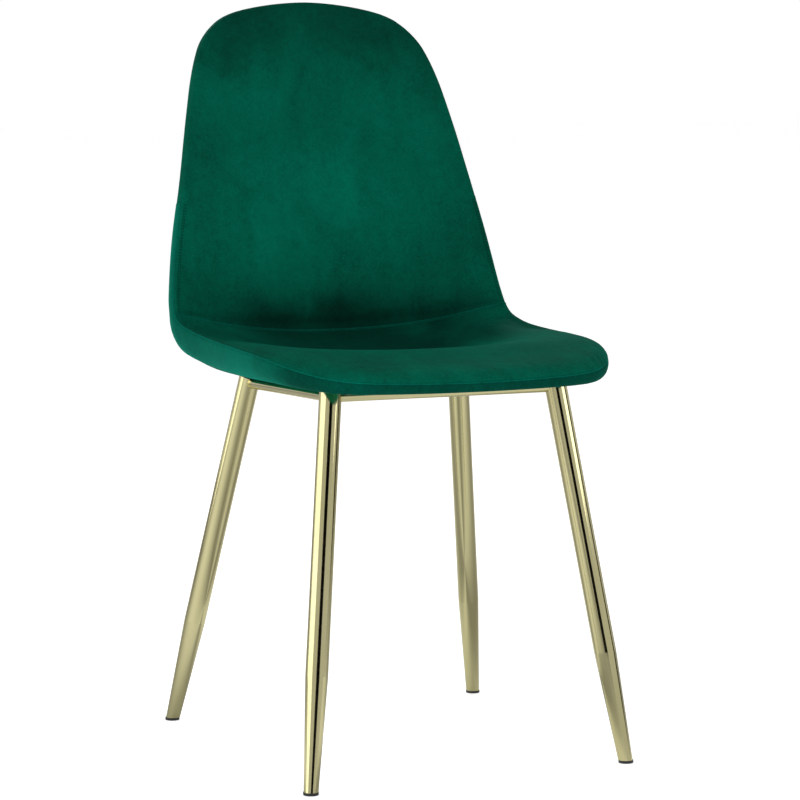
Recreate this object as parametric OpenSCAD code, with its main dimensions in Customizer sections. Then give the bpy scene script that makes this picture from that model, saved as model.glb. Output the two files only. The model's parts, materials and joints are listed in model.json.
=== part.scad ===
// Dining chair: an upholstered one-piece seat and back on four splayed metal legs.
// Millimetres. +Z is up, -Y is the way the sitter faces, +X is the sitter's left.
// The origin is on the floor, at the middle of the chair's footprint box.

/* [Overall] */
// Width across the upholstery at its widest
shell_width = 430; // [390:1:470]
// Depth from the front of the seat to the rear of the back
shell_depth = 532; // [500:1:570]
// Height of the top of the back above the floor
overall_height = 858; // [800:1:900]
// Height of the crown of the seat above the floor
seat_height = 467; // [440:1:490]

/* [Upholstery] */
// Thickness of the moulded plywood core
core_t = 8; // [6:0.5:9]
// Thickness of the velvet with its backing
velvet_t = 1.8; // [1.2:0.1:2]
// Height that the padding rises above the edge seam
crown = 11; // [6:0.5:14]
// Width of the rounded margin of the padding
margin_r = 38; // [25:1:50]

/* [Legs] */
// Outside diameter of a leg tube
leg_d = 25; // [22:0.5:28]
// Outside diameter of a leg at the floor
leg_tip_d = 16; // [14:0.5:20]
// Height of the tapered end of a leg
taper_h = 124; // [90:1:160]
// Wall thickness of a leg tube
leg_wall = 1.2; // [1:0.1:2]
// Distance of a front foot from the centre plane
front_foot_x = 192; // [180:1:205]
// Distance of a rear foot from the centre plane
rear_foot_x = 199.5; // [185:0.5:210]

/* [Seat frame] */
// Outside diameter of the rails and crossbars
rail_d = 12; // [10:0.5:14]
// Thickness of the welded mounting tabs
tab_t = 3; // [2:0.5:4]
// Nominal thread diameter of the seat bolts
bolt_d = 6; // [5:1:6]

/* [Hidden] */

$fn = 64;

// Colours as on the real chair
velvet_colour = [0.00, 0.29, 0.22];
brass_colour = [0.79, 0.74, 0.48];
ply_colour = [0.76, 0.62, 0.44];
foam_colour = [0.93, 0.90, 0.80];
black_colour = [0.08, 0.08, 0.08];
zinc_colour = [0.72, 0.73, 0.74];

// ---------------------------------------------------------------------------
// Upholstered shell: one loft, from the front edge of the seat to the top of the back
// ---------------------------------------------------------------------------

// The loft is drawn at these nominal sizes and scaled to the driving dimensions
NOMINAL_WIDTH = 430;
NOMINAL_DEPTH = 532;
NOMINAL_RISE = 391;

// Columns of a station. The centre and the seam lie on the sitter's side of the shell.
// Heights are measured from the crown of the seat.
CENTRE_Y = 0;    // place of the centre line, front to rear
CENTRE_Z = 1;    // height of the centre line
HALF_W = 2;      // half of the width at the edge seam
SEAM_Y = 3;      // place of the edge seam, front to rear
SEAM_Z = 4;      // height of the edge seam
CENTRE_T = 5;    // thickness of the shell at the centre line
EDGE_T = 6;      // depth of the edge band
EDGE_INSET = 7;  // how far the band's outer edge lies inside its seam
EDGE_FLAT = 8;   // power of the outer cross-section: high is flat with upturned edges

STATIONS = [
    [-260,  -26,    0, -260,  -26, 11, 11,  0,  6],
    [-253,  -24,  106, -253,  -24, 13, 12,  2,  6],
    [-237,  -21,  159, -231,  -20, 16, 15,  6,  6],
    [-197,  -17,  191, -189,  -11, 20, 21, 10,  6],
    [-132,  -13,  206, -131,   -2, 26, 28, 14,  6],
    [ -37,  -21,  208,  -39,    2, 21, 34, 17,  6],
    [  43,  -27,  208,   43,    6, 18, 36, 17,  6],
    [ 107,  -24,  212,   95,   13, 23, 37, 14,  5],
    [ 153,  -11,  214,  118,   21, 31, 37, 10,  4],
    [ 171,   17,  213,  126,   32, 30, 33,  7,  3],
    [ 179,   54,  210,  136,   54, 28, 29,  5,  3],
    [ 188,  113,  200,  152,  113, 27, 25,  3,  3],
    [ 198,  183,  185,  169,  183, 26, 20,  2,  3],
    [ 210,  253,  170,  189,  253, 25, 19,  2,  3],
    [ 223,  313,  154,  209,  313, 24, 19,  2,  3],
    [ 233,  353,  133,  226,  353, 23, 19,  2,  3],
    [ 241,  379,   91,  239,  379, 21, 18,  1,  3],
    [ 245,  391,    0,  245,  391, 18, 18,  0,  3]
];

LAST = len(STATIONS) - 1;
TIP = 0.02;              // the loft starts and ends this far inside its two end points
VALLEY = 8.35;           // where the seat panel is sewn to the back panel
BAND_TOP = 11.6;         // where the side bands meet the top band
BAND_FRONT = 2.45;       // where the side bands meet the front band
INNER_CURVE = 2.2;       // power of the cross-section on the sitter's side
SEAM_GAP = 2.6;          // clearance between a panel's edge and its seam line
OUTER_GAP = 4.5;         // clearance between the outer cover's edge and the bands
BAND_BULGE = 3.5;        // how far the bands swell outwards
ROWS_PER_STATION = 3;    // loft rows between two stations
HALF_COLUMNS = 7;        // loft columns on each side of the centre line
PLY_GAP = 1;             // space between two neighbouring layers
REAR_PAD_T = 3.5;        // thickness of the padding behind the back
BAND_COLUMNS = 4;        // loft columns across a band

function mirrored(s) = [for (c = [0 : len(s) - 1]) c == HALF_W ? -s[c] : s[c]];

function catmull_rom(a, b, c, d, t) =
    0.5 * (2 * b + (c - a) * t + (2 * a - 5 * b + 4 * c - d) * t * t
    + (3 * b - a - 3 * c + d) * t * t * t);

function scaled(s) = [for (c = [0 : len(s) - 1])
    c == CENTRE_Y || c == SEAM_Y ? s[c] * shell_depth / NOMINAL_DEPTH :
    c == CENTRE_Z || c == SEAM_Z ? seat_height + s[c]
        * (s[c] > 0 ? (overall_height - seat_height) / NOMINAL_RISE : 1) :
    c == HALF_W ? s[c] * shell_width / NOMINAL_WIDTH : s[c]];

// Station at a fractional place u, with the outline carried smoothly across both ends
function station(u) =
    let (
        i = max(0, min(LAST - 1, floor(u))),
        before = i > 0 ? STATIONS[i - 1] : mirrored(STATIONS[1]),
        after = i < LAST - 1 ? STATIONS[i + 2] : mirrored(STATIONS[LAST - 1])
    )
    scaled(catmull_rom(before, STATIONS[i], STATIONS[i + 1], after, u - i));

function unit(v) = v / norm(v);

// Direction away from the sitter, square to the centre line
function away(u) =
    let (
        a = station(max(0.05, u - 0.3)),
        b = station(min(LAST - 0.05, u + 0.3)),
        t = unit([b[CENTRE_Y] - a[CENTRE_Y], b[CENTRE_Z] - a[CENTRE_Z]])
    )
    [0, t[1], -t[0]];

function seam(u) = let (s = station(u)) [s[HALF_W], s[SEAM_Y], s[SEAM_Z]];

function outer_edge(u) =
    let (s = station(u)) seam(u) + away(u) * s[EDGE_T]
    - [min(s[EDGE_INSET], s[HALF_W] / 2), 0, 0];

// 1 where the edge seam runs along the chair, towards 0 where it crosses it
function turn(u) =
    let (d = seam(min(LAST, u + TIP)) - seam(max(0, u - TIP)))
    norm([d[1], d[2]]) / norm(d);

// Distance from a point of the loft to the edge seam
function edge_distance(u, v) = station(u)[HALF_W] * (1 - v * v) / 2 * turn(u);

function padding_rise(u, v) =
    let (k = 1 - min(1, max(0, edge_distance(u, v)) / margin_r))
    (u < VALLEY ? crown : crown * 0.7) * sqrt(1 - k * k);

// Point on the face that the sitter touches; v runs from -1 to 1 across the chair
function inner_face(u, v) =
    let (
        s = station(u),
        bend = pow(abs(v), INNER_CURVE),
        y = s[CENTRE_Y] + (s[SEAM_Y] - s[CENTRE_Y]) * bend,
        z = s[CENTRE_Z] + (s[SEAM_Z] - s[CENTRE_Z]) * bend
    )
    [s[HALF_W] * v, y, z] - away(u) * padding_rise(u, v);

// Point on the underside of the seat and the rear of the back
function outer_face(u, v) =
    let (
        s = station(u),
        centre = [0, s[CENTRE_Y], s[CENTRE_Z]] + away(u) * s[CENTRE_T],
        edge = outer_edge(u),
        bend = pow(abs(v), s[EDGE_FLAT])
    )
    [edge[0] * v, centre[1] + (edge[1] - centre[1]) * bend,
    centre[2] + (edge[2] - centre[2]) * bend];

// Point inside the shell, a depth below the sitter's face or a height above the outer face
function below_inner(u, v, depth) =
    let (a = inner_face(u, v)) a + unit(outer_face(u, v) - a) * depth;
function above_outer(u, v, height) =
    let (a = outer_face(u, v)) a + unit(inner_face(u, v) - a) * height;

function smooth_step(a, b, x) =
    let (t = max(0, min(1, (x - a) / (b - a)))) t * t * (3 - 2 * t);

// Height of the core's rear face above the outer face: the back has padding behind the core
function core_height(u) =
    velvet_t + PLY_GAP + REAR_PAD_T * smooth_step(VALLEY + 0.5, VALLEY + 1.5, u);

function rows(from, to, step = 1 / ROWS_PER_STATION) =
    let (count = max(1, round(abs(to - from) / step)))
    [for (i = [0 : count]) from + (to - from) * i / count];

// Places across the chair, which stop a distance inside the edge seam
function columns(u, inset) =
    let (
        w = station(u)[HALF_W],
        reach = max(0.4, 1 - inset / turn(u) / w)
    )
    [for (j = [-HALF_COLUMNS : HALF_COLUMNS]) reach * sin(90 * j / HALF_COLUMNS)];

// Closed solid between two grids of points that have the same size
module grid_solid(top, bottom) {
    rows = len(top);
    cols = len(top[0]);
    points = [for (grid = [top, bottom], row = grid, p = row) p];
    function at(side, i, j) = side * rows * cols + i * cols + j;
    faces_top = [for (i = [0 : rows - 2], j = [0 : cols - 2], half = [0, 1])
        half == 0 ? [at(0, i, j), at(0, i + 1, j), at(0, i + 1, j + 1)]
        : [at(0, i, j), at(0, i + 1, j + 1), at(0, i, j + 1)]];
    faces_bottom = [for (i = [0 : rows - 2], j = [0 : cols - 2], half = [0, 1])
        half == 0 ? [at(1, i, j), at(1, i + 1, j + 1), at(1, i + 1, j)]
        : [at(1, i, j), at(1, i, j + 1), at(1, i + 1, j + 1)]];
    rim = concat(
        [for (j = [0 : cols - 2]) [0, j]],
        [for (i = [0 : rows - 2]) [i, cols - 1]],
        [for (j = [cols - 1 : -1 : 1]) [rows - 1, j]],
        [for (i = [rows - 1 : -1 : 1]) [i, 0]]
    );
    count = len(rim);
    faces_rim = [for (k = [0 : count - 1], half = [0, 1])
        let (a = rim[k], b = rim[(k + 1) % count])
        half == 0 ? [at(0, a[0], a[1]), at(0, b[0], b[1]), at(1, b[0], b[1])]
        : [at(0, a[0], a[1]), at(1, b[0], b[1]), at(1, a[0], a[1])]];
    polyhedron(points, concat(faces_top, faces_bottom, faces_rim), convexity = 8);
}

// Strip that follows the edge seam on one side of the chair, between two places on the loft
function band_point(u, q, depth, side) =
    let (
        a = seam(u),
        b = outer_edge(u),
        along = seam(min(LAST, u + TIP)) - seam(max(0, u - TIP)),
        out = unit(cross(b - a, along)),
        p = a + (b - a) * q + out * (BAND_BULGE * 4 * q * (1 - q) - depth)
    )
    [p[0] * side, p[1], p[2]];

function band_rows(stops, side, depth) = [for (u = stops)
    [for (k = [0 : BAND_COLUMNS]) band_point(u, k / BAND_COLUMNS, depth, side)]];

module side_band(side) {
    stops = rows(BAND_FRONT, BAND_TOP);
    ordered = side > 0 ? stops : backwards(stops);
    grid_solid(band_rows(ordered, side, 0), band_rows(ordered, side, velvet_t));
}

// A band that crosses the centre plane, at the front edge or over the top of the back
module end_band(from, to) {
    half = rows(from, to);
    side = from < to ? 1 : -1;
    function whole(depth) = concat(
        band_rows(backwards(half), -side, depth),
        band_rows([for (i = [1 : len(half) - 1]) half[i]], side, depth)
    );
    grid_solid(whole(0), whole(velvet_t));
}

// ---------------------------------------------------------------------------
// Legs and seat frame
// ---------------------------------------------------------------------------

FRAME_DROP_FRONT = 39;   // the frame's top lies this far below the crown, at the front legs
FRAME_DROP_REAR = 48;    // and this far below it at the rear legs
FRONT_LEG_Y = -165;
REAR_LEG_Y = 89;
FRONT_LEG_X = 137;
REAR_LEG_X = 134;
FRONT_FOOT_Y = -239.5;
REAR_FOOT_Y = 183.5;

frame_front_z = seat_height - FRAME_DROP_FRONT;
frame_rear_z = seat_height - FRAME_DROP_REAR;
frame_tilt = atan((frame_front_z - frame_rear_z) / (REAR_LEG_Y - FRONT_LEG_Y));

foot_cap_t = 3;          // the tubes end this far above the floor
TUBE_SEAM = 130;         // the welded seam of a leg tube is turned this far, towards the inside
SLACK = 10;              // extra length of a leg before its lower end is levelled

// Ends of a leg's centre line: on the floor, and at the height of the frame's top
function foot(front) = front ? [front_foot_x, FRONT_FOOT_Y, 0] : [rear_foot_x, REAR_FOOT_Y, 0];
function head(front) = front ? [FRONT_LEG_X, FRONT_LEG_Y, frame_front_z]
    : [REAR_LEG_X, REAR_LEG_Y, frame_rear_z];

function leg_at(front, z) = foot(front) + (head(front) - foot(front)) * z / head(front)[2];

// Stands children on a point, with their Z axis towards another point
module aim(from, to) {
    d = to - from;
    translate(from)
        rotate([0, acos(d[2] / norm(d)), atan2(d[1], d[0])])
            children();
}

// Length of a leg's centre line for each millimetre of height
function lean(front) = norm(head(front) - foot(front)) / head(front)[2];

LEG_RISE_FRONT = 2.3;    // the legs reach this far above the frame's top, at the front
LEG_RISE_REAR = 4.9;     // and this far at the rear

// Place of the tube's square top end, measured along the leg to its highest point
function top_end(front) =
    head(front)[2] * lean(front) - leg_d / 2 * sqrt(lean(front) * lean(front) - 1)
    + (front ? LEG_RISE_FRONT : LEG_RISE_REAR);

// Radius and place along a leg's centre line, from just below the floor to the top end
function leg_side(front, shrink, top) =
    let (
        taper = taper_h * lean(front),
        below = (leg_d - leg_tip_d) / 2 * SLACK / taper
    )
    [[leg_tip_d / 2 - below - shrink, -SLACK], [leg_d / 2 - shrink, taper],
    [leg_d / 2 - shrink, top]];

function backwards(list) = [for (i = [len(list) - 1 : -1 : 0]) list[i]];

// Solid of a leg's outside
module leg_form(front) {
    side = leg_side(front, 0, top_end(front));
    aim(foot(front), head(front))
        rotate_extrude()
            polygon(concat([[0, side[0][1]]], side, [[0, side[2][1]]]));
}

// Block that levels the lower end of a leg for its foot cap
module floor_block(point) {
    translate([point[0], point[1], foot_cap_t - 3 * SLACK])
        cylinder(d = 3 * leg_d, h = 3 * SLACK);
}

module leg(front, side) {
    color(brass_colour)
        on_side(side)
            difference() {
                aim(foot(front), head(front))
                    rotate([0, 0, TUBE_SEAM])
                        rotate_extrude()
                            polygon(concat(leg_side(front, 0, top_end(front)),
                                backwards(leg_side(front, leg_wall, top_end(front)))));
                floor_block(foot(front));
            }
}

// Puts children on the sitter's left (side 1) or right (side -1)
module on_side(side) {
    if (side > 0) children();
    else mirror([1, 0, 0]) children();
}

PLUG_DEPTH = 12;         // length of a plug inside a tube
PLUG_GAP = 0.1;          // space between a plug and its tube
PLUG_FOOT = 1.7;         // a foot cap's plug starts this far up, inside its disc
FOOT_LIP = 1;            // a foot cap is this much wider than its leg

// Foot cap: a flat disc on the floor, with a plug that fills the mouth of the tube
module foot_cap(front, side) {
    color(black_colour)
        on_side(side) {
            translate(foot(front))
                cylinder(d = leg_tip_d + FOOT_LIP, h = foot_cap_t - PLUG_GAP);
            aim(foot(front), head(front))
                translate([0, 0, PLUG_FOOT])
                    cylinder(d = leg_tip_d - 2 * leg_wall - 2 * PLUG_GAP, h = PLUG_DEPTH);
        }
}

// Plastic plugs that close the tops of the tubes, flush with the tube ends
module leg_top_plugs() {
    color(black_colour)
        for (front = [true, false], side = [-1, 1])
            on_side(side)
                aim(foot(front), head(front))
                    translate([0, 0, top_end(front) - PLUG_DEPTH])
                        cylinder(d = leg_d - 2 * leg_wall - 2 * PLUG_GAP, h = PLUG_DEPTH);
}

rail_drop = rail_d / 2;  // the rails' tops lie in the frame's top plane

function rail_end(front) = leg_at(front, head(front)[2] - rail_drop);

RAIL_WALL = 1.5;         // wall thickness of the rails and crossbars
RAIL_BACK = 7;           // a rail ends this far short of the leg's centre line

// Straight tube between two legs, coped against them
module rail_tube(a, b) {
    length = norm(b - a) - 2 * RAIL_BACK;
    difference() {
        aim(a, b)
            translate([0, 0, RAIL_BACK])
                cylinder(d = rail_d, h = length);
        aim(a, b)
            translate([0, 0, RAIL_BACK - 1])
                cylinder(d = rail_d - 2 * RAIL_WALL, h = length + 2);
        children();
    }
}

module side_rail(side) {
    color(brass_colour)
        on_side(side)
            rail_tube(rail_end(true), rail_end(false)) {
                union() {
                    leg_form(true);
                    leg_form(false);
                }
            }
}

module crossbar(front) {
    end = rail_end(front);
    color(brass_colour)
        rail_tube([-end[0], end[1], end[2]], end) {
            union() {
                leg_form(front);
                mirror([1, 0, 0]) leg_form(front);
            }
        }
}

// The frame's top plane: origin between the front legs, Y along the rails, Z square to it
module on_frame() {
    translate([0, FRONT_LEG_Y, frame_front_z])
        rotate([-frame_tilt, 0, 0])
            children();
}

TAB_W = 34;              // from the rail towards the centre plane
TAB_L = 30;              // along the rail
HOLE_X = 109;            // distance of a bolt from the centre plane
HOLE_FRONT = 26;         // distance of the front bolts behind the front legs
HOLE_REAR = 222;         // distance of the rear bolts behind the front legs
TAB_OUTER_X = 134;       // outer edge of a tab, before it is coped against the rail

module at_bolts() {
    on_frame()
        for (x = [-HOLE_X, HOLE_X], y = [HOLE_FRONT, HOLE_REAR])
            translate([x, y, 0])
                children();
}

CLEARANCE = 0.6;         // a bolt hole is this much wider than its bolt

module mounting_tabs() {
    color(brass_colour)
        for (side = [-1, 1], y = [HOLE_FRONT, HOLE_REAR])
            on_side(side)
                difference() {
                    on_frame()
                        translate([TAB_OUTER_X - TAB_W, y - TAB_L / 2, -tab_t])
                            cube([TAB_W, TAB_L, tab_t]);
                    on_frame()
                        translate([HOLE_X, y, -tab_t - 1])
                            cylinder(d = bolt_d + CLEARANCE, h = tab_t + 2);
                    aim(rail_end(true), rail_end(false))
                        cylinder(d = rail_d, h = norm(rail_end(false) - rail_end(true)));
                }
}

WASHER_D = 16;           // flat washer
WASHER_T = 1.4;
SPRING_WASHER_D = 11;    // split spring washer
SPRING_WASHER_T = 1.6;
SPRING_GAP = 1.2;
HEAD_D = 10.5;           // head of a cap screw
HEAD_H = 5;
SOCKET_D = 4.6;          // its hexagon socket, across the corners
SOCKET_DEPTH = 3;
SKIN_BASE = 1.5;         // the velvet's lower face above the frame's top, at the bolts
CORE_BASE = SKIN_BASE + velvet_t + PLY_GAP;
FLANGE_D = 18;           // flange of a tee nut
FLANGE_T = 1.3;
BARREL_D = 7.8;          // barrel of a tee nut

module flat_washers() {
    color(zinc_colour)
        at_bolts()
            translate([0, 0, -tab_t - WASHER_T])
                difference() {
                    cylinder(d = WASHER_D, h = WASHER_T);
                    translate([0, 0, -1])
                        cylinder(d = bolt_d + CLEARANCE, h = WASHER_T + 2);
                }
}

module spring_washers() {
    color(zinc_colour)
        at_bolts()
            translate([0, 0, -tab_t - WASHER_T - SPRING_WASHER_T])
                difference() {
                    cylinder(d = SPRING_WASHER_D, h = SPRING_WASHER_T);
                    translate([0, 0, -1])
                        cylinder(d = bolt_d + CLEARANCE, h = SPRING_WASHER_T + 2);
                    translate([0, -SPRING_GAP / 2, -1])
                        cube([SPRING_WASHER_D, SPRING_GAP, SPRING_WASHER_T + 2]);
                }
}

// Cap screws with a hexagon socket, from below through tab and core into the tee nuts
module seat_bolts() {
    seat_z = -tab_t - WASHER_T - SPRING_WASHER_T;
    color(zinc_colour)
        at_bolts()
            difference() {
                union() {
                    translate([0, 0, seat_z - HEAD_H])
                        cylinder(d = HEAD_D, h = HEAD_H);
                    translate([0, 0, seat_z - 0.01])
                        cylinder(d = bolt_d, h = CORE_BASE + core_t - 1 - seat_z);
                }
                translate([0, 0, seat_z - HEAD_H - 1])
                    cylinder(d = SOCKET_D, h = SOCKET_DEPTH + 1, $fn = 6);
            }
}

NUT_BORE_GAP = 0.3;      // the bore of a tee nut is this much wider than its bolt
BARREL_GAP = 0.4;        // the hole for a barrel is this much wider than the barrel
FLANGE_SINK = 0.3;       // a flange lies this far below the core's upper face

module tee_nuts() {
    color(zinc_colour)
        at_bolts()
            difference() {
                union() {
                    translate([0, 0, CORE_BASE + 1])
                        cylinder(d = BARREL_D, h = core_t - 1 - FLANGE_T);
                    translate([0, 0, CORE_BASE + core_t - FLANGE_T - FLANGE_SINK])
                        cylinder(d = FLANGE_D, h = FLANGE_T);
                }
                translate([0, 0, CORE_BASE - 1])
                    cylinder(d = bolt_d + NUT_BORE_GAP, h = core_t + 4);
            }
}

// ---------------------------------------------------------------------------
// Layers of the upholstered shell, from the outside in
// ---------------------------------------------------------------------------

// Holes for the bolts and pockets for the flanges of the tee nuts
module nut_pockets() {
    barrel_holes();
    at_bolts()
        translate([0, 0, CORE_BASE + core_t - FLANGE_T - 2 * FLANGE_SINK + 0.1])
            cylinder(d = FLANGE_D + CLEARANCE, h = core_t);
}

module barrel_holes() {
    at_bolts()
        translate([0, 0, -core_t])
            cylinder(d = BARREL_D + BARREL_GAP, h = 4 * core_t);
}

CORE_INSET = 6;          // the core and the foam end this far inside the edge seam
SEAT_STOPS = rows(1, VALLEY - TIP, 1 / 2);
BACK_STOPS = rows(VALLEY + TIP, LAST - 0.6, 1 / 2);
PAD_STOPS = [for (u = BACK_STOPS) if (u > VALLEY + 1.5) u];

// Grids of points over some stops, a depth below or a height above one of the two faces
function grid_below(stops, inset, depth) =
    [for (u = stops) [for (v = columns(u, inset)) below_inner(u, v, depth)]];
function grid_above(stops, inset, height) =
    [for (u = stops) [for (v = columns(u, inset)) above_outer(u, v, height)]];
function core_face(stops, height) =
    [for (u = stops) [for (v = columns(u, CORE_INSET)) above_outer(u, v, core_height(u) + height)]];

module shell_core() {
    stops = concat(SEAT_STOPS, BACK_STOPS);
    color(ply_colour)
        difference() {
            grid_solid(core_face(stops, core_t), core_face(stops, 0));
            nut_pockets();
        }
}

// Foam on the sitter's side of the core
module foam(stops) {
    color(foam_colour)
        grid_solid(
            grid_below(stops, CORE_INSET, velvet_t + PLY_GAP),
            core_face(stops, core_t + PLY_GAP)
        );
}

module seat_foam() {
    foam(SEAT_STOPS);
}

module back_foam() {
    foam(BACK_STOPS);
}

module rear_padding() {
    color(foam_colour)
        grid_solid(
            core_face(PAD_STOPS, -PLY_GAP),
            grid_above(PAD_STOPS, CORE_INSET, velvet_t + PLY_GAP)
        );
}

PANEL_END = 0.3;         // the panels stop this far inside the two ends of the loft
OUTER_END = 0.66;        // and the outer cover stops this far inside them

// Velvet on the sitter's side
module panel(from, to) {
    stops = rows(from, to);
    color(velvet_colour)
        grid_solid(grid_below(stops, SEAM_GAP, 0), grid_below(stops, SEAM_GAP, velvet_t));
}

module seat_cover() {
    panel(PANEL_END, VALLEY - TIP / 2);
}

module back_cover() {
    panel(VALLEY + TIP / 2, LAST - PANEL_END);
}

// Velvet over the rear of the back and under the seat
module outer_cover() {
    stops = rows(OUTER_END, LAST - OUTER_END);
    color(velvet_colour)
        difference() {
            grid_solid(grid_above(stops, OUTER_GAP, velvet_t), grid_above(stops, OUTER_GAP, 0));
            barrel_holes();
        }
}

module side_band_left() {
    color(velvet_colour) side_band(1);
}

module side_band_right() {
    color(velvet_colour) side_band(-1);
}

module front_band() {
    color(velvet_colour) end_band(0, BAND_FRONT);
}

module top_band() {
    color(velvet_colour) end_band(LAST, BAND_TOP);
}

DUST_T = 0.7;            // thickness of the cloth
DUST_LIFT = 0.2;         // its lower face above the frame's top
DUST_W = 240;            // its width
DUST_FROM = -20;         // its front and rear edges, behind the front legs
DUST_TO = 250;
STAPLE_L = 10;           // length of a staple's crown
STAPLE_D = 0.7;          // thickness of its wire
STAPLE_PITCH = 36;       // largest distance between two staples
STAPLE_EDGE = 7;         // distance of a staple from the cloth's edge

// Non-woven cloth under the seat, between the frame and the velvet
module dust_cover() {
    color(black_colour)
        difference() {
            on_frame()
                translate([-DUST_W / 2, DUST_FROM, DUST_LIFT])
                    cube([DUST_W, DUST_TO - DUST_FROM, DUST_T]);
            at_bolts()
                translate([0, 0, -5])
                    cylinder(d = bolt_d + CLEARANCE, h = 10);
        }
}

// One staple, its crown under the cloth
module staple() {
    translate([-STAPLE_L / 2, -STAPLE_D / 2, -STAPLE_D])
        cube([STAPLE_L, STAPLE_D, STAPLE_D]);
}

module staples() {
    across = DUST_W - 2 * STAPLE_EDGE;
    count_x = floor(across / STAPLE_PITCH);
    color(zinc_colour)
        on_frame() {
            for (i = [0 : count_x], end = [DUST_FROM + STAPLE_EDGE, DUST_TO - STAPLE_EDGE])
                translate([-across / 2 + across * i / count_x, end, DUST_LIFT])
                    staple();
        }
}

shell_core();
seat_foam();
back_foam();
rear_padding();
seat_cover();
back_cover();
outer_cover();
side_band_left();
side_band_right();
front_band();
top_band();
dust_cover();
staples();
leg(true, 1);  // leg_front_left
leg(true, -1);  // leg_front_right
leg(false, 1);  // leg_rear_left
leg(false, -1);  // leg_rear_right
side_rail(1);  // side_rail_left
side_rail(-1);  // side_rail_right
crossbar(true);  // front_crossbar
crossbar(false);  // rear_crossbar
mounting_tabs();
seat_bolts();
flat_washers();
spring_washers();
tee_nuts();
leg_top_plugs();
foot_cap(true, 1);  // foot_cap_front_left
foot_cap(true, -1);  // foot_cap_front_right
foot_cap(false, 1);  // foot_cap_rear_left
foot_cap(false, -1);  // foot_cap_rear_right
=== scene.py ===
import json
import math

import bmesh
import bpy
import numpy as np
from mathutils import Matrix, Vector
from mathutils.bvhtree import BVHTree


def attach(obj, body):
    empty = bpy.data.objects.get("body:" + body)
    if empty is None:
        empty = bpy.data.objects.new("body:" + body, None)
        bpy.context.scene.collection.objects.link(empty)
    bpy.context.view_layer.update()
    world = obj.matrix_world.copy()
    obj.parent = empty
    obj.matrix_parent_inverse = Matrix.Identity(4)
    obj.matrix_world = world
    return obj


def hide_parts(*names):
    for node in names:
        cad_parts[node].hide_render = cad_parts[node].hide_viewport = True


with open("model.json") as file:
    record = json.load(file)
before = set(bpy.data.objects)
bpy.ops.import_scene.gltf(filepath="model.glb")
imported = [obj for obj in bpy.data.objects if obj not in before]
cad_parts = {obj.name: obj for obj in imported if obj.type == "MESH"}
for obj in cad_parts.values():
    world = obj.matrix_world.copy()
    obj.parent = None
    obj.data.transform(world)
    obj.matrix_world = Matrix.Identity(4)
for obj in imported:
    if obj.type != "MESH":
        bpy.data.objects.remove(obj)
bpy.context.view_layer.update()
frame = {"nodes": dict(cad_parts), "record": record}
scene = bpy.context.scene

MM = 0.001
X, Y, Z = 0, 1, 2
MIRROR = np.array([-1.0, 1.0, 1.0])     # takes a point to the other side of the chair


# ---------------------------------------------------------------------------
# Camera
# ---------------------------------------------------------------------------

SENSOR_WIDTH, FOCAL_LENGTH = 36, 139.25         # in millimetres
CAMERA_AT = Vector((-1.4259, -3.2746, 0.7896))
LOOK_AT = Vector((0.0054, -0.0304, 0.3988))

camera = bpy.data.objects.new("camera", bpy.data.cameras.new("camera"))
scene.collection.objects.link(camera)
scene.camera = camera
camera.data.sensor_width = SENSOR_WIDTH
camera.data.lens = FOCAL_LENGTH
camera.location = CAMERA_AT
camera.rotation_euler = (LOOK_AT - CAMERA_AT).to_track_quat("-Z", "Y").to_euler()
camera.data.clip_start = 0.1
camera.data.clip_end = 100


# ---------------------------------------------------------------------------
# Curves of the shell, read from the CAD model
# ---------------------------------------------------------------------------

SMOOTH = 0.75                           # cosine between neighbouring faces of one smooth surface


def vertices(o):
    return np.array([v.co for v in o.data.vertices])


def smooth_neighbours(face):
    for e in face.edges:
        for other in e.link_faces:
            if other is not face and face.normal.dot(other.normal) > SMOOTH:
                yield e, other


def smooth_group(face, seen):
    """All the faces that join this one with no sharp edge between."""
    group, stack = [], [face]
    seen.add(face.index)
    while stack:
        f = stack.pop()
        group.append(f)
        for _, other in smooth_neighbours(f):
            if other.index not in seen:
                seen.add(other.index)
                stack.append(other)
    return group


def grid_labels(corner, seed, inside):
    """Column and row of each vertex, from triangle to triangle, as two of them make a parallelogram."""
    label = {corner[0]: (0, 0), corner[1]: (1, 0), corner[2]: (1, 1)}
    stack, done = [seed], {seed.index}
    while stack:
        f = stack.pop()
        for e, other in smooth_neighbours(f):
            if other.index in done or other.index not in inside:
                continue
            done.add(other.index)
            a, b = e.verts
            c = next(v for v in f.verts if v not in e.verts)
            d = next(v for v in other.verts if v not in e.verts)
            if d not in label:
                label[d] = tuple(label[a][k] + label[b][k] - label[c][k] for k in (0, 1))
            stack.append(other)
    return label


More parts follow.
